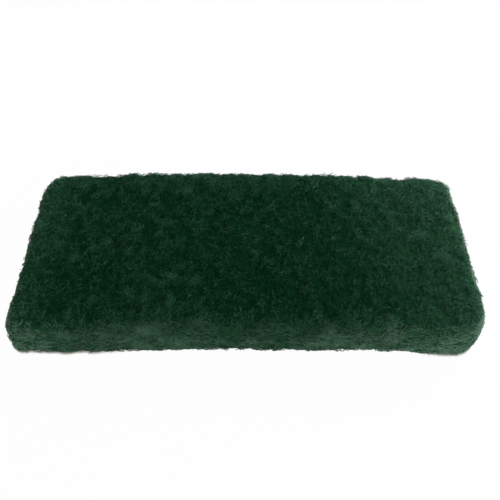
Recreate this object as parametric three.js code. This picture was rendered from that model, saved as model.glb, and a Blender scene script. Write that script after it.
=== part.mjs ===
// A hand scouring pad: one thick block of curly nylon web, die cut with round corners.
// Millimetres, Z up. X runs along the pad, -Y is its front, and Z = 0 is what it lies on.

import * as THREE from 'three';
import { ImprovedNoise } from 'three/addons/math/ImprovedNoise.js';
import { mergeVertices } from 'three/addons/utils/BufferGeometryUtils.js';

// The block
const padLength = 250;
const padWidth = 115;
const padThickness = 25;

// Its outline seen from above, where each cut corner has worn to its own radius
const frontLeftCornerRadius = 6.5;
const frontRightCornerRadius = 17;
const backLeftCornerRadius = 15;
const backRightCornerRadius = 13;

// The soft roll from the faces into the side walls: how far in and how far down it reaches
const topRollInset = 6;
const topRollDrop = 11;
const bottomRollInset = 3;
const bottomRollDrop = 3;

// The web has taken a twisted set: the middle stands clear and both ends lie flat,
// the left end longest at the front and the right end longest at the back
const archRise = 3;
const frontLeftRestLength = 33;
const backLeftRestLength = 12;
const leftArchRun = 70;
const frontRightRestLength = 18;
const backRightRestLength = 40;
const rightArchRun = 32;

// Tufts of curled strands, with the hollows between them
const tuftPitch = 7.5;
const tuftDepth = 0.8;
const tuftContrast = 1.8;

// Laps of carded web, which show as shallow ridges along the side walls
const lapCount = 3;
const lapDepth = 0.6;
const lapWander = 0.3;
const lapWanderPitch = 35;

// How finely the surface is divided
const lengthCells = 62;
const widthCells = 28;
const heightCells = 7;

const webColor = 0x173f29;

const smallestCornerRadius = Math.min(
  frontLeftCornerRadius, frontRightCornerRadius,
  backLeftCornerRadius, backRightCornerRadius,
);

const topRoll = {
  inset: Math.min(topRollInset, smallestCornerRadius),
  drop: Math.min(topRollDrop, padThickness / 2),
};

const bottomRoll = {
  inset: Math.min(bottomRollInset, smallestCornerRadius),
  drop: Math.min(bottomRollDrop, padThickness / 2),
};

const noise = new ImprovedNoise();

function cornerRadius(x, y) {
  if (y < 0) return x < 0 ? frontLeftCornerRadius : frontRightCornerRadius;
  return x < 0 ? backLeftCornerRadius : backRightCornerRadius;
}

// Carries a point of the square block into the outline with round corners
function roundOutline(x, y) {
  const radius = cornerRadius(x, y);
  const alongX = Math.max(0, Math.abs(x) - (padLength / 2 - radius)) / radius;
  const alongY = Math.max(0, Math.abs(y) - (padWidth / 2 - radius)) / radius;
  const pullX = radius * alongX * (1 - Math.sqrt(1 - alongY ** 2 / 2));
  const pullY = radius * alongY * (1 - Math.sqrt(1 - alongX ** 2 / 2));
  return new THREE.Vector2(x - Math.sign(x) * pullX, y - Math.sign(y) * pullY);
}

// The nearest place that is at least one roll radius inside the outline
function insideRoll(point, roll) {
  const radius = cornerRadius(point.x, point.y);
  const core = new THREE.Vector2(
    THREE.MathUtils.clamp(point.x, radius - padLength / 2, padLength / 2 - radius),
    THREE.MathUtils.clamp(point.y, radius - padWidth / 2, padWidth / 2 - radius),
  );
  const reach = new THREE.Vector2().subVectors(point, core);
  return core.add(reach.clampLength(0, radius - roll));
}

// 0 where the pad lies flat at its ends, 1 in the middle
function archAt(x, y) {
  const fromEnd = padLength / 2 - Math.abs(x);
  const toBack = 0.5 + y / padWidth;
  if (x < 0) {
    const restLength = THREE.MathUtils.lerp(frontLeftRestLength, backLeftRestLength, toBack);
    return THREE.MathUtils.smoothstep(fromEnd - restLength, 0, leftArchRun);
  }
  const restLength = THREE.MathUtils.lerp(frontRightRestLength, backRightRestLength, toBack);
  return THREE.MathUtils.smoothstep(fromEnd - restLength, 0, rightArchRun);
}

// Depth of the surface under the tips of its tufts
function tuftHollow(x, y, z) {
  const level = noise.noise(x / tuftPitch, y / tuftPitch, z / tuftPitch);
  return tuftDepth * THREE.MathUtils.clamp(0.5 - tuftContrast * level, 0, 1);
}

// Depth of the side wall under the crests of the laps
function lapHollow(x, y, z) {
  const wander = lapWander * noise.noise(x / lapWanderPitch, y / lapWanderPitch, 0);
  const phase = 2 * Math.PI * lapCount * (z / padThickness + wander);
  return lapDepth * (0.5 - 0.5 * Math.cos(phase));
}

function surfacePoint(x, y, z) {
  const outline = roundOutline(x, y);
  const { inset, drop } = z > padThickness / 2 ? topRoll : bottomRoll;
  const core = insideRoll(outline, inset);
  const coreHeight = THREE.MathUtils.clamp(z, bottomRoll.drop, padThickness - topRoll.drop);
  const outward = new THREE.Vector3(
    (outline.x - core.x) / inset,
    (outline.y - core.y) / inset,
    (z - coreHeight) / drop,
  ).normalize();

  const wall = Math.hypot(outward.x, outward.y);
  const onUnderside = outward.z < 0 ? -outward.z : 0;
  const arch = archAt(x, y);
  const free = 1 - onUnderside * (1 - arch);
  const hollow = free * tuftHollow(x, y, z) + wall * lapHollow(x, y, z);

  const across = inset - hollow;
  const up = drop - hollow;
  return new THREE.Vector3(
    core.x + outward.x * across,
    core.y + outward.y * across,
    coreHeight + outward.z * up + archRise * arch,
  );
}

function webGeometry() {
  const block = new THREE.BoxGeometry(
    padLength, padWidth, padThickness,
    lengthCells, widthCells, heightCells,
  );
  block.translate(0, 0, padThickness / 2);
  block.deleteAttribute('normal');
  block.deleteAttribute('uv');
  const web = mergeVertices(block);
  const corners = web.getAttribute('position');
  for (let i = 0; i < corners.count; i += 1) {
    const moved = surfacePoint(corners.getX(i), corners.getY(i), corners.getZ(i));
    corners.setXYZ(i, moved.x, moved.y, moved.z);
  }
  web.computeVertexNormals();
  return web;
}

const webMaterial = new THREE.MeshStandardMaterial({ color: webColor, roughness: 0.9, metalness: 0 });

const scouringPad = new THREE.Mesh(webGeometry(), webMaterial);
scouringPad.name = 'scouring_pad';

const pad = new THREE.Group();
pad.add(scouringPad);

export default pad;
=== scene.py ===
import math

import bpy
import numpy as np
from mathutils import Matrix, Vector, noise
from mathutils.bvhtree import BVHTree


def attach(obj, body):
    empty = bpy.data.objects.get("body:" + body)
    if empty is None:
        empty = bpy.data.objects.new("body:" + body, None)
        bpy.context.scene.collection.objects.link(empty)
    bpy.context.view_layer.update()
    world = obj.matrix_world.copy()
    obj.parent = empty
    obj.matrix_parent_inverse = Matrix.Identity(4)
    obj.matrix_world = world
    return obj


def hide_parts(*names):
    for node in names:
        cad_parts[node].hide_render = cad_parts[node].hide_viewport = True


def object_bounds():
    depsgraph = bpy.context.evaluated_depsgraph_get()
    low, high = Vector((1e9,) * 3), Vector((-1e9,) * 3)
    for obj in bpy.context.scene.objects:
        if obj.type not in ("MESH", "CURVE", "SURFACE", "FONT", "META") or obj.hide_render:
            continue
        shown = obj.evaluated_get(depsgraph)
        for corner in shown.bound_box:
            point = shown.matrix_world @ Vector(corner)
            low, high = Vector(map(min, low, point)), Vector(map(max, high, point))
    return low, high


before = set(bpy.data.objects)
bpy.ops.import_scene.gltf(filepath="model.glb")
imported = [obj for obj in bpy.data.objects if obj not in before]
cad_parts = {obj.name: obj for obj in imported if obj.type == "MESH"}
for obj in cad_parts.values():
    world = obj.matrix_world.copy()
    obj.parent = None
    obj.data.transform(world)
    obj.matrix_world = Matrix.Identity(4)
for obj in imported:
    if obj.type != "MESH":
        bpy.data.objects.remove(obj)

# A thick pad of curly nylon web. The solid web is one remeshed block with hollows in it,
# and loose crimped strands lie over every face of it. Metres, Z up, -Y is the front.

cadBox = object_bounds()
bpy.ops.object.select_all(action="DESELECT")


# Small helpers

def makeActive(obj):
    bpy.ops.object.select_all(action="DESELECT")
    obj.select_set(True)
    bpy.context.view_layer.objects.active = obj


def applyModifiers(obj):
    makeActive(obj)
    for name in [m.name for m in obj.modifiers]:
        bpy.ops.object.modifier_apply(modifier=name)


def triangleCount(obj):
    return sum(len(face.vertices) - 2 for face in obj.data.polygons)


def surfaceTree(obj):
    points = [v.co.copy() for v in obj.data.vertices]
    faces = [tuple(face.vertices) for face in obj.data.polygons]
    return BVHTree.FromPolygons(points, faces)


def unit(vectors):
    lengths = np.linalg.norm(vectors, axis=-1, keepdims=True)
    return vectors / np.maximum(lengths, 1e-12)


def smoothRamp(values):
    t = np.clip(values, 0, 1)
    return t * t * (3 - 2 * t)


def noiseAt(points, size):
    # -1 to 1, one value a point, in patches of about this size
    return np.array([noise.noise(Vector(p) / size) for p in points])


# The web itself

padWeb = {
    "node": "scouring_pad",
    "weld": 0.00001,         # joins the corners of the solid's loose triangles
    "voxel": 0.0013,         # grain of the remeshed block
    "smoothPasses": 5,       # takes the facets off the solid's tufts
    "smoothFactor": 0.5,
    "hollowSize": 0.0021,    # across the pores between the strands
    "hollowDepth": 0.0026,
    "hollowLevel": 0.62,     # share of the depth that lies under the outline
    "floorGap": 0.0001,
    "fill": 0.9,
}


def makeWeb(values):
    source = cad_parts[values["node"]]
    web = bpy.data.objects.new("pad_web", source.data.copy())
    bpy.context.scene.collection.objects.link(web)
    web.data.materials.clear()
    makeActive(web)
    bpy.ops.object.mode_set(mode="EDIT")
    bpy.ops.mesh.select_all(action="SELECT")
    bpy.ops.mesh.remove_doubles(threshold=values["weld"])
    bpy.ops.object.mode_set(mode="OBJECT")

    remesh = web.modifiers.new("evenGrain", "REMESH")
    remesh.mode = "VOXEL"
    remesh.voxel_size = values["voxel"]
    smooth = web.modifiers.new("offFacets", "SMOOTH")
    smooth.factor = values["smoothFactor"]
    smooth.iterations = values["smoothPasses"]
    applyModifiers(web)
    return web


def poreWeb(web, values):
    pores = bpy.data.textures.new("webPores", type="CLOUDS")
    pores.noise_scale = values["hollowSize"]
    pores.noise_depth = 1
    pores.noise_basis = "ORIGINAL_PERLIN"
    sink = web.modifiers.new("sinkPores", "DISPLACE")
    sink.texture = pores
    sink.texture_coords = "LOCAL"
    sink.strength = values["hollowDepth"]
    sink.mid_level = values["hollowLevel"]
    applyModifiers(web)
    for vertex in web.data.vertices:
        vertex.co.z = max(vertex.co.z, values["floorGap"])
    makeActive(web)
    bpy.ops.object.shade_smooth()


tuftSize = {"fine": 0.0032, "coarse": 0.0085, "patch": 0.045}
tuftShare = {"fine": 1.35, "coarse": 0.8, "patch": 0.4}


def tuftLevel(points):
    # How far the web stands up in pale tufts, about -1 to 1
    return sum(tuftShare[kind] * noiseAt(points, size) for kind, size in tuftSize.items())


# Painted light: the rims and the right side are made paler where the lamps and their sheen fall,
# and the foot darker with painted shade
rimLight = {
    "endReach": 0.032,      # painted sheen and light: the pale rim along both ends
    "endGain": 1.1,
    "backReach": 0.024,     # and along the back edge
    "backGain": 1.15,
    "frontReach": 0.016,    # and along the front edge
    "frontGain": 0.7,
    "sideStart": 0.02,      # both sides take painted light slowly from here on, the right one most
    "rightGain": 1.2,
    "leftGain": 0.3,
    "footReach": 0.006,     # painted shade: the lowest part of the walls is less pale, near the floor
    "footShade": 0.5,
}


def rimLightLevel(points):
    # Painted sheen and light: 0 in the middle of the pad, 1 on a lit rim and above 2 at its palest
    # corners, and less at the foot, where shade is painted
    halfLength = cadBox[1][0]
    halfWidth = cadBox[1][1]
    x, y, z = np.array([(p[0], p[1], p[2]) for p in points]).T
    ends = smoothRamp((np.abs(x) - halfLength + rimLight["endReach"]) / rimLight["endReach"])
    back = smoothRamp((y - halfWidth + rimLight["backReach"]) / rimLight["backReach"])
    front = smoothRamp((-y - halfWidth + rimLight["frontReach"]) / rimLight["frontReach"])
    side = smoothRamp((np.abs(x) - rimLight["sideStart"]) / (halfLength - rimLight["sideStart"]))
    side *= np.where(x > 0, rimLight["rightGain"], rimLight["leftGain"])
    foot = smoothRamp((rimLight["footReach"] - z) / rimLight["footReach"])
    rims = rimLight["endGain"] * ends + rimLight["backGain"] * back + rimLight["frontGain"] * front
    return rims + side - rimLight["footShade"] * foot


webTone = {"base": 0.15, "tufts": 0.32, "rimLight": 0.30, "walls": 0.5}     # what makes it paler: painted shade between the tufts, painted sheen and light on the rims, and on the walls partly their own tone, partly painted light


def markWeb(web, tree, deepest, tone):
    # Two values a point for the finish: depth under the strands, which the finish turns into
    # painted shade, and how pale the web is, with its painted shade and light
    depths = np.empty(len(web.data.vertices), np.float32)
    walls = np.empty(len(web.data.vertices))
    for i, vertex in enumerate(web.data.vertices):
        hit, normal, face, distance = tree.find_nearest(vertex.co)
        under = (hit - vertex.co).dot(normal)
        depths[i] = min(1.0, max(0.0, under / deepest))
        walls[i] = 1 - abs(normal.z)
    points = [vertex.co for vertex in web.data.vertices]
    # painted sheen and light on the rims and walls, and painted shade between the tufts
    tuftsAndRimLight = tone["tufts"] * tuftLevel(points) + tone["rimLight"] * rimLightLevel(points)
    level = np.clip(tone["base"] + tuftsAndRimLight + tone["walls"] * walls, 0, 1)
    for name, marks in (("depth", depths), ("paintedLightLevel", level.astype(np.float32))):
        layer = web.data.attributes.new(name, "FLOAT", "POINT")
        layer.data.foreach_set("value", marks)


web = makeWeb(padWeb)
guide = surfaceTree(web)
poreWeb(web, padWeb)
markWeb(web, guide, padWeb["hollowDepth"], webTone)
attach(web, "root")
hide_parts(padWeb["node"])
print("web:", triangleCount(web), "triangles")


# Loose strands

strandShape = {
    "points": 5,              # along one strand
    "length": (0.0017, 0.0042),
    "radius": (0.00010, 0.00023),
    "drift": 380.0,           # steady bend, radians a metre
    "crimp": 520.0,           # depth of the crimp's bend, radians a metre
    "crimpLength": (0.0025, 0.0060),
    "rootDepth": 0.0006,      # the ends dive this far into the web
    "lift": (0.0001, 0.0007),
    "risePower": 0.6,         # below 1 a strand rises steeply and runs flat in its middle
    "tuftRise": 0.0007,       # how much higher they lie on the tufts
    "looseShare": 0.35,       # strands with one end free
    "looseLift": (0.0004, 0.0014),
    "floorGap": 0.0003,
    "clumping": 1.9,          # how much more strands gather on the tufts
    "tintBase": 0.0,
    "tintSpread": 0.70,
    "paleShare": 8.0,         # power of the spread of tints, so that pale strands are few
    "tuftTint": 0.23,         # how much paler strands are on the tufts
    "rimLightTint": 0.29,         # and where painted sheen and light pale them at the rims
    "streakTint": 0.0,
    "tintWidth": 0.02,        # of one strand on its map
    "mapMargin": 0.01,        # left free at both ends of the map
}

wallLay = {                   # along the laps of the web, and flatter than on the top
    "level": 0.9,             # share of the strands
    "levelTilt": 0.15,        # how much of their tilt those keep
    "mixReach": 0.10,         # how far along the ends the front and back sets mix
    "drift": 140.0,
    "crimp": 260.0,
    "looseShare": 0.15,
    "looseLift": (0.0003, 0.0008),
    "lift": (0.0001, 0.0004),
    "length": (0.0022, 0.0055),
    "radius": (0.00011, 0.00022),
    "tintBase": -0.12,
    "tintSpread": 0.16,
    "paleShare": 1.5,
    "tuftTint": 0.12,
    # painted sheen and light at the rims, stronger on the walls
    "rimLightTint": 0.58,
    "streakTint": 0.17,       # pale and dark streaks along the laps
}

ruffled = {                   # the back wall, which stands up more and is less pale
    "looseShare": 0.25,
    "looseLift": (0.0004, 0.0010),
    "tuftRise": 0.0022,
    "rimLightTint": 0.2,
}

strandSets = {
    "top_strands_left": {"count": 11000, "face": "top", "side": -1, "seed": 11},
    "top_strands_right": {"count": 11000, "face": "top", "side": 1, "seed": 12},
    "wall_strands_front": {
        "count": 10200, "face": "wall", "side": -1, "seed": 13, **wallLay,
    },
    "wall_strands_back": {
        "count": 10200, "face": "wall", "side": 1, "seed": 14, **wallLay, **ruffled,
    },
    "underside_strands": {"count": 4800, "face": "underside", "seed": 15},
}

faceLean = {"top": 0.55, "underside": -0.5, "wall": 0.75}     # upward share of their normals
lapStretch = (2, 2, 14)       # makes a patch of noise into a streak along a wall


def onSurface(tree, points):
    hits = np.empty_like(points)
    normals = np.empty_like(points)
    for i, point in enumerate(points):
        hit, normal, face, distance = tree.find_nearest(Vector(point))
        hits[i] = hit
        normals[i] = normal
    return hits, normals


def findRootSpots(web, tree):
    # Where strands can start: the middle of every face of the web
    mesh = web.data
    centres = np.empty(len(mesh.polygons) * 3)
    areas = np.empty(len(mesh.polygons))
    mesh.polygons.foreach_get("center", centres)
    mesh.polygons.foreach_get("area", areas)
    centres = centres.reshape(-1, 3)
    hits, normals = onSurface(tree, centres)
    return {"centres": centres, "areas": areas, "lean": normals[:, 2], "tufts": tuftLevel(centres)}


def spreadRoots(spots, values, random):
    # Picks places on one group of faces of the block, more of them where the web clumps
    centres, lean = spots["centres"], spots["lean"]
    if values["face"] == "top":
        chosen = (lean > faceLean["top"]) & (centres[:, 0] * values["side"] > 0)
    elif values["face"] == "underside":
        chosen = lean < faceLean["underside"]
    else:
        # the two wall sets mix along the ends, so that no line shows where they meet
        mixed = smoothRamp(0.5 + values["side"] * centres[:, 1] / values["mixReach"])
        chosen = (np.abs(lean) < faceLean["wall"]) * mixed
    share = spots["areas"] * chosen * np.exp(values["clumping"] * spots["tufts"])
    picks = random.choice(len(share), values["count"], p=share / share.sum())
    jitter = random.uniform(-0.5, 0.5, (values["count"], 3)) * padWeb["voxel"]
    return centres[picks] + jitter


def turn(headings, normals, angles):
    c = np.cos(angles)[:, None]
    s = np.sin(angles)[:, None]
    return headings * c + np.cross(normals, headings) * s


def alongSurface(headings, normals):
    return unit(headings - normals * (headings * normals).sum(1, keepdims=True))


def strandPaths(tree, roots, values, random):
    # Each strand walks over the web in short steps, bends as it goes and dives at its ends
    count = len(roots)
    points = values["points"]
    length = random.uniform(*values["length"], count)
    step = length / (points - 1)
    crimpLength = random.uniform(*values["crimpLength"], count)
    phase = random.uniform(0, 2 * math.pi, count)
    drift = random.normal(0, values["drift"], count)
    lift = random.uniform(*values["lift"], count)
    loose = random.random(count) < values["looseShare"]
    looseLift = random.uniform(*values["looseLift"], count)
    place, normal = onSurface(tree, roots)
    tuftRise = values["tuftRise"] * noiseAt(roots, tuftSize["fine"])
    lift = np.maximum(lift + tuftRise, 0)
    looseLift = looseLift + tuftRise

    across = unit(random.normal(0, 1, (count, 3)))
    if values["face"] == "wall":
        level = random.random(count) < values["level"]
        across[level, 2] *= values["levelTilt"]
    heading = alongSurface(across, normal)

    paths = np.empty((count, points, 3))
    ups = np.empty((count, points, 3))
    for k in range(points):
        along = k / (points - 1)
        rise = math.sin(math.pi * along) ** values["risePower"]
        height = -values["rootDepth"] + (lift + values["rootDepth"]) * rise
        if along > 0.5:
            free = lift + (looseLift - lift) * (2 * along - 1)
            height = np.where(loose, free, height)
        paths[:, k] = place + normal * height[:, None]
        ups[:, k] = normal
        wave = np.sin(2 * math.pi * along * length / crimpLength + phase)
        bend = drift + values["crimp"] * wave
        heading = turn(heading, normal, bend * step)
        place, normal = onSurface(tree, place + heading * step[:, None])
        heading = alongSurface(heading, normal)
    return paths, ups


def tubeFaces(rings):
    # Triangles of a three-sided tube of so many rings, closed by a point at both ends
    tip = 1 + rings * 3
    last = tip - 3
    faces = []
    for j in range(3):
        beside = (j + 1) % 3
        faces.append((0, 1 + beside, 1 + j))
        for r in range(rings - 1):
            a = 1 + r * 3 + j
            b = 1 + r * 3 + beside
            faces.append((a, b, b + 3))
            faces.append((a, b + 3, a + 3))
        faces.append((last + j, last + beside, tip))
    return np.array(faces)


def mapStrands(mesh, size, points, tints, values):
    # U is the strand's tint, with a little width for its three sides, and V runs along it
    corner = np.empty(len(mesh.loops), np.int64)
    mesh.loops.foreach_get("vertex_index", corner)
    strand, place = corner // size, corner % size
    atTip = (place == 0) | (place == size - 1)
    ring = np.where(atTip, np.where(place == 0, 0, points - 1), 1 + (place - 1) // 3)
    spot = np.where(atTip, 1, (place - 1) % 3)
    width, margin = values["tintWidth"], values["mapMargin"]
    u = tints[strand] * (1 - width) + width * spot / 2
    v = margin + (1 - 2 * margin) * ring / (points - 1)
    both = np.stack([u, v], axis=1).astype(np.float32).ravel()
    for mapName in ("strandMap", "OFBake"):      # the same map twice, the second named OFBake; the export bakes on the second one
        layer = mesh.uv_layers.new(name=mapName)
        layer.data.foreach_set("uv", both)


def strandMesh(name, paths, ups, radii, tints, values):
    # A three-sided tube along each path, pointed at both ends so that it is closed
    count, points = paths.shape[:2]
    rings = points - 2
    size = rings * 3 + 2
    along = unit(np.gradient(paths, axis=1))
    side = unit(np.cross(along, ups))
    up = np.cross(side, along)
    corners = []
    for j in range(3):
        angle = 2 * math.pi * j / 3 + math.pi / 2
        offset = side * math.cos(angle) + up * math.sin(angle)
        corners.append(paths[:, 1:-1] + offset[:, 1:-1] * radii[:, None, None])
    tube = np.stack(corners, axis=2).reshape(count, rings * 3, 3)
    verts = np.concatenate([paths[:, :1], tube, paths[:, -1:]], axis=1)
    verts[:, :, 2] = np.maximum(verts[:, :, 2], values["floorGap"])
    starts = np.arange(count) * size
    faces = (tubeFaces(rings)[None] + starts[:, None, None]).reshape(-1, 3)

    mesh = bpy.data.meshes.new(name)
    mesh.from_pydata(verts.reshape(-1, 3), [], faces)
    mesh.validate()
    mapStrands(mesh, size, points, tints, values)
    mesh.polygons.foreach_set("use_smooth", np.ones(len(mesh.polygons), bool))
    return mesh


def strandTints(roots, values, random):
    # 0 for the darkest strands, 1 for the palest
    tints = values["tintSpread"] * random.random(values["count"]) ** values["paleShare"]
    tints += values["tintBase"]
    # paler on the tufts, and painted sheen and light at the rims and on the right side
    tints += values["tuftTint"] * tuftLevel(roots) + values["rimLightTint"] * rimLightLevel(roots)
    tints += values["streakTint"] * noiseAt(roots * lapStretch, tuftSize["patch"])
    return np.clip(tints, 0, 1)


def makeStrands(name, values, spots, tree):
    random = np.random.default_rng(values["seed"])
    roots = spreadRoots(spots, values, random)
    paths, ups = strandPaths(tree, roots, values, random)
    radii = random.uniform(*values["radius"], values["count"])
    tints = strandTints(roots, values, random)
    mesh = strandMesh(name, paths, ups, radii, tints, values)
    strands = bpy.data.objects.new(name, mesh)
    bpy.context.scene.collection.objects.link(strands)
    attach(strands, "root")
    print(name + ":", triangleCount(strands), "triangles")
    return strands


rootSpots = findRootSpots(web, guide)
strandPieces = {}
for name, values in strandSets.items():
    strandPieces[name] = makeStrands(name, {**strandShape, **values}, rootSpots, guide)


# Nodes that the finishes are made of

def newMaterial(name, values):
    material = bpy.data.materials.new(name)
    material.use_nodes = True
    nodes, links = material.node_tree.nodes, material.node_tree.links
    shader = nodes["Principled BSDF"]
    shader.inputs["Roughness"].default_value = values["roughness"]
    shader.inputs["Specular IOR Level"].default_value = values["specular"]
    return material, nodes, links, shader


def newGroup(name, inputs, outputs):
    group = bpy.data.node_groups.new(name, "ShaderNodeTree")
    for way, sockets in (("INPUT", inputs), ("OUTPUT", outputs)):
        for label, kind in sockets.items():
            group.interface.new_socket(label, in_out=way, socket_type="NodeSocket" + kind)
    given = group.nodes.new("NodeGroupInput")
    out = group.nodes.new("NodeGroupOutput")
    return group, given.outputs, out.inputs


def feed(links, socket, given):
    # Links a socket to another one, or gives it a plain value
    if isinstance(given, bpy.types.NodeSocket):
        links.new(given, socket)
    else:
        socket.default_value = given


def addMath(nodes, links, operation, *given):
    node = nodes.new("ShaderNodeMath")
    node.operation = operation
    for socket, value in zip(node.inputs, given):
        feed(links, socket, value)
    return node.outputs[0]


def addRange(nodes, links, value, ends, kind="LINEAR"):
    node = nodes.new("ShaderNodeMapRange")
    node.interpolation_type = kind
    feed(links, node.inputs["Value"], value)
    for label, end in ends.items():
        feed(links, node.inputs[label], end)
    return node.outputs["Result"]


def addColorMix(nodes, links, factor, a, b):
    node = nodes.new("ShaderNodeMix")
    node.data_type = "RGBA"
    for label, given in (("Factor", factor), ("A", a), ("B", b)):
        feed(links, node.inputs[label], given)
    return node.outputs["Result"]


def addRamp(nodes, links, factor, ends, colors):
    node = nodes.new("ShaderNodeValToRGB")
    for element, end, color in zip(node.color_ramp.elements, ends, colors):
        element.position = end
        element.color = color
    links.new(factor, node.inputs["Fac"])
    return node.outputs["Color"]


def addMark(nodes, name):
    node = nodes.new("ShaderNodeAttribute")
    node.attribute_name = name
    return node.outputs["Fac"]


# Finish of the web

curlNoise = {"detail": 1.0, "distortion": 0.6}


def makeCurlGroup(values):
    # Curled lines: where a noise crosses its middle value
    sockets = {"Vector": "Vector", "Scale": "Float", "Width": "Float"}
    group, given, out = newGroup("curlLines", sockets, {"Mask": "Float"})
    nodes, links = group.nodes, group.links
    waves = nodes.new("ShaderNodeTexNoise")
    waves.inputs["Detail"].default_value = values["detail"]
    waves.inputs["Distortion"].default_value = values["distortion"]
    links.new(given["Vector"], waves.inputs["Vector"])
    links.new(given["Scale"], waves.inputs["Scale"])
    middle = addMath(nodes, links, "SUBTRACT", waves.outputs["Fac"], 0.5)
    away = addMath(nodes, links, "ABSOLUTE", middle)
    ends = {"From Max": given["Width"], "To Min": 1.0, "To Max": 0.0}
    links.new(addRange(nodes, links, away, ends, "SMOOTHSTEP"), out["Mask"])
    return group


curlGroup = makeCurlGroup(curlNoise)

webFinish = {
    # painted shade: the colour deep in the hollows between the strands
    "hollow": (0.0002, 0.0150, 0.0042, 1),
    "surface": (0.0006, 0.0365, 0.0112, 1),
    "depthEnds": (0.1, 0.75),        # depths that are all surface and all painted hollow shade
    "strand": (0.0050, 0.0590, 0.0230, 1),
    "curls": ((420.0, 0.05), (300.0, 0.04), (620.0, 0.06)),     # scale and width of the lines
    "curlBump": 0.8,
    "curlHeight": 0.0004,
    "tuftShade": (0.65, 1.8),        # painted shade and light, from the hollows between tufts to their tops and the lit rims and walls
    "sheenHaze": (0.0235, 0.0185, 0.0190),     # painted sheen: a neutral pale added where the web is palest
    "roughness": 0.8,
    "specular": 0.03,
}


def addCurls(nodes, links, values):
    # The strands that lie deep in the web, as one mask
    coords = nodes.new("ShaderNodeTexCoord")
    joined = 0.0
    for scale, width in values["curls"]:
        lines = nodes.new("ShaderNodeGroup")
        lines.node_tree = curlGroup
        lines.inputs["Scale"].default_value = scale
        lines.inputs["Width"].default_value = width
        links.new(coords.outputs["Object"], lines.inputs["Vector"])
        joined = addMath(nodes, links, "MAXIMUM", joined, lines.outputs["Mask"])
    return joined


def makeWebMaterial(values):
    material, nodes, links, shader = newMaterial("deepWeb", values)
    curls = addCurls(nodes, links, values)
    # painted shade in the hollows, by the depth under the strands
    colors = (values["surface"], values["hollow"])
    ground = addRamp(nodes, links, addMark(nodes, "depth"), values["depthEnds"], colors)
    blend = addColorMix(nodes, links, curls, ground, values["strand"])
    # painted shade and light: the level darkens the hollows between tufts and pales the lit rims
    # and walls
    paintedLightLevel = addMark(nodes, "paintedLightLevel")
    darkest, palest = values["tuftShade"]
    level = addRange(nodes, links, paintedLightLevel, {"To Min": darkest, "To Max": palest})
    # painted sheen, a neutral pale, scaled by the level
    sheenHaze = nodes.new("ShaderNodeVectorMath")
    sheenHaze.operation = "SCALE"
    sheenHaze.inputs["Vector"].default_value = values["sheenHaze"]
    links.new(paintedLightLevel, sheenHaze.inputs["Scale"])
    shaded = nodes.new("ShaderNodeVectorMath")
    shaded.operation = "MULTIPLY_ADD"
    for socket, given in zip(shaded.inputs, (blend, level, sheenHaze.outputs["Vector"])):
        links.new(given, socket)
    links.new(shaded.outputs["Vector"], shader.inputs["Base Color"])
    bump = nodes.new("ShaderNodeBump")
    bump.inputs["Strength"].default_value = values["curlBump"]
    bump.inputs["Distance"].default_value = values["curlHeight"]
    links.new(curls, bump.inputs["Height"])
    links.new(bump.outputs["Normal"], shader.inputs["Normal"])
    return material


# Finish of the strands

rootShadeReach = 0.25     # share of a strand that its painted root shade reaches, from each end


def makeStrandGroup():
    # Shade along a strand: its own tint, with painted shade where it dives into the web
    sockets = {"Map": "Vector", "Deep": "Color", "Pale": "Color", "RootShade": "Float"}
    group, given, out = newGroup("strandShade", sockets, {"Color": "Color"})
    nodes, links = group.nodes, group.links
    split = nodes.new("ShaderNodeSeparateXYZ")
    links.new(given["Map"], split.inputs["Vector"])
    shade = addColorMix(nodes, links, split.outputs["X"], given["Deep"], given["Pale"])
    fromEnd = addMath(nodes, links, "PINGPONG", split.outputs["Y"], 0.5)
    ends = {"From Max": rootShadeReach, "To Min": given["RootShade"]}
    rootShaded = addRange(nodes, links, fromEnd, ends)
    links.new(addColorMix(nodes, links, rootShaded, (0, 0, 0, 1), shade), out["Color"])
    return group


strandGroup = makeStrandGroup()

strandFinish = {
    "topStrand": {
        "deep": (0.0001, 0.0540, 0.0145, 1),
        "pale": (0.0640, 0.1850, 0.1160, 1),
        # painted shade at both ends of a strand, where it dives into the web
        "root": 0.5,
        "roughness": 0.45,
        "specular": 0.07,
        "pieces": ("top_strands_left", "top_strands_right", "underside_strands"),
    },
    # paler than on the top: partly the walls' own tone, partly painted light from the front lamp
    # and its sheen
    "wallStrand": {
        "deep": (0.0001, 0.0550, 0.0220, 1),
        "pale": (0.1220, 0.2500, 0.1620, 1),
        # painted shade at both ends of a strand, where it dives into the web
        "root": 0.85,
        "roughness": 0.45,
        "specular": 0.18,
        "pieces": ("wall_strands_front", "wall_strands_back"),
    },
}


def makeStrandMaterial(name, values):
    material, nodes, links, shader = newMaterial(name, values)
    mapped = nodes.new("ShaderNodeUVMap")
    mapped.uv_map = "strandMap"
    shade = nodes.new("ShaderNodeGroup")
    shade.node_tree = strandGroup
    shade.inputs["Deep"].default_value = values["deep"]
    shade.inputs["Pale"].default_value = values["pale"]
    shade.inputs["RootShade"].default_value = values["root"]
    links.new(mapped.outputs["UV"], shade.inputs["Map"])
    links.new(shade.outputs["Color"], shader.inputs["Base Color"])
    return material


web.data.materials.append(makeWebMaterial(webFinish))
for name, values in strandFinish.items():
    finish = makeStrandMaterial(name, values)
    for piece in values["pieces"]:
        strandPieces[piece].data.materials.append(finish)
print("finishes: web and", len(strandFinish), "strand materials")


# Floor, light and camera

def addRayTest(nodes, links):
    # 1 for what the camera sees directly or in glossy and clear things
    path = nodes.new("ShaderNodeLightPath")
    total = path.outputs["Is Camera Ray"]
    for kind in ("Is Glossy Ray", "Is Transmission Ray"):
        total = addMath(nodes, links, "ADD", total, path.outputs[kind])
        total.node.use_clamp = True
    return total


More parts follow.
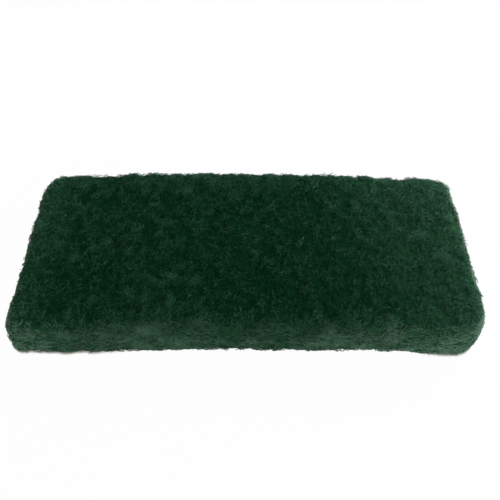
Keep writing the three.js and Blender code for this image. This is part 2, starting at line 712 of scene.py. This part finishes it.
whiteFloor = {
    "size": 12.0,
    "color": (0.9, 0.9, 0.9, 1),
    "roughness": 0.9,
    "specular": 0.0,
    "glow": 0.98,              # share of plain white in what the camera sees
    "contactReach": 0.0025,    # how far from the pad its contact shadow fades out
    "contactSamples": 8,
    "contactEnds": (0.45, 0.75),
    "contactColors": ((0.22, 0.19, 0.17, 1), (1, 1, 1, 1)),
}


def makeFloor(values):
    bpy.ops.mesh.primitive_plane_add(size=values["size"], location=(0, 0, 0))
    floor = bpy.context.object
    floor.name = "floor"
    material, nodes, links, shader = newMaterial("whiteFloor", values)
    shader.inputs["Base Color"].default_value = values["color"]
    contact = nodes.new("ShaderNodeAmbientOcclusion")
    contact.samples = values["contactSamples"]
    contact.inputs["Distance"].default_value = values["contactReach"]
    ends, colors = values["contactEnds"], values["contactColors"]
    tone = addRamp(nodes, links, contact.outputs["AO"], ends, colors)
    glow = nodes.new("ShaderNodeEmission")
    glow.inputs["Strength"].default_value = 1.0
    links.new(tone, glow.inputs["Color"])
    share = addMath(nodes, links, "MULTIPLY", addRayTest(nodes, links), values["glow"])
    mix = nodes.new("ShaderNodeMixShader")
    links.new(share, mix.inputs["Fac"])
    links.new(shader.outputs["BSDF"], mix.inputs[1])
    links.new(glow.outputs["Emission"], mix.inputs[2])
    links.new(mix.outputs["Shader"], nodes["Material Output"].inputs["Surface"])
    floor.data.materials.append(material)


skyStrength = 0.17     # of its light on the pad, while the camera sees plain white


def makeWorld():
    world = bpy.data.worlds.new("studioWorld")
    bpy.context.scene.world = world
    world.use_nodes = True
    nodes, links = world.node_tree.nodes, world.node_tree.links
    backdrop = nodes["Background"]
    backdrop.inputs["Color"].default_value = (1, 1, 1, 1)
    ends = {"To Min": skyStrength, "To Max": 1.0}
    level = addRange(nodes, links, addRayTest(nodes, links), ends)
    links.new(level, backdrop.inputs["Strength"])


lamps = {
    "frontSoftbox": {"place": (0.70, -1.05, 0.48), "size": 1.5, "watts": 14.0},
    "rightSoftbox": {"place": (0.32, 0.20, 0.16), "size": 0.20, "watts": 1.3},
    "backSoftbox": {"place": (-0.05, 0.38, 0.15), "size": 0.30, "watts": 0.28},
    "leftSoftbox": {"place": (-0.38, 0.02, 0.15), "size": 0.20, "watts": 0.2},
}
lampAim = (0, 0, 0.012)     # the middle of the pad


def addLamps(values):
    for name, lamp in values.items():
        bpy.ops.object.light_add(type="AREA", location=lamp["place"])
        light = bpy.context.object
        light.name = name
        light.data.shape = "SQUARE"
        light.data.size = lamp["size"]
        light.data.energy = lamp["watts"]
        away = Vector(lamp["place"]) - Vector(lampAim)
        light.rotation_euler = away.to_track_quat("Z", "Y").to_euler()


photoView = {
    "place": (-0.0011, -0.2242, 0.2854),
    "lookDown": 49.92,      # degrees
    "turnRight": 0.57,
    "roll": 0.92,
    "lens": 44.24,          # millimetres, as is the sensor
    "sensor": 36.0,
    "nearest": 0.01,
}


def addCamera(values):
    bpy.ops.object.camera_add(location=values["place"])
    camera = bpy.context.object
    camera.name = "photoCamera"
    camera.data.lens = values["lens"]
    camera.data.sensor_width = values["sensor"]
    camera.data.clip_start = values["nearest"]
    turned = Matrix.Rotation(math.radians(-values["turnRight"]), 4, "Z")
    tipped = Matrix.Rotation(math.radians(90 - values["lookDown"]), 4, "X")
    rolled = Matrix.Rotation(math.radians(values["roll"]), 4, "Z")
    camera.matrix_world = Matrix.Translation(values["place"]) @ turned @ tipped @ rolled
    bpy.context.scene.camera = camera


makeFloor(whiteFloor)
makeWorld()
addLamps(lamps)
addCamera(photoView)
bpy.context.scene.view_settings.view_transform = "Standard"
print("studio: floor, world,", len(lamps), "lamps and the camera")
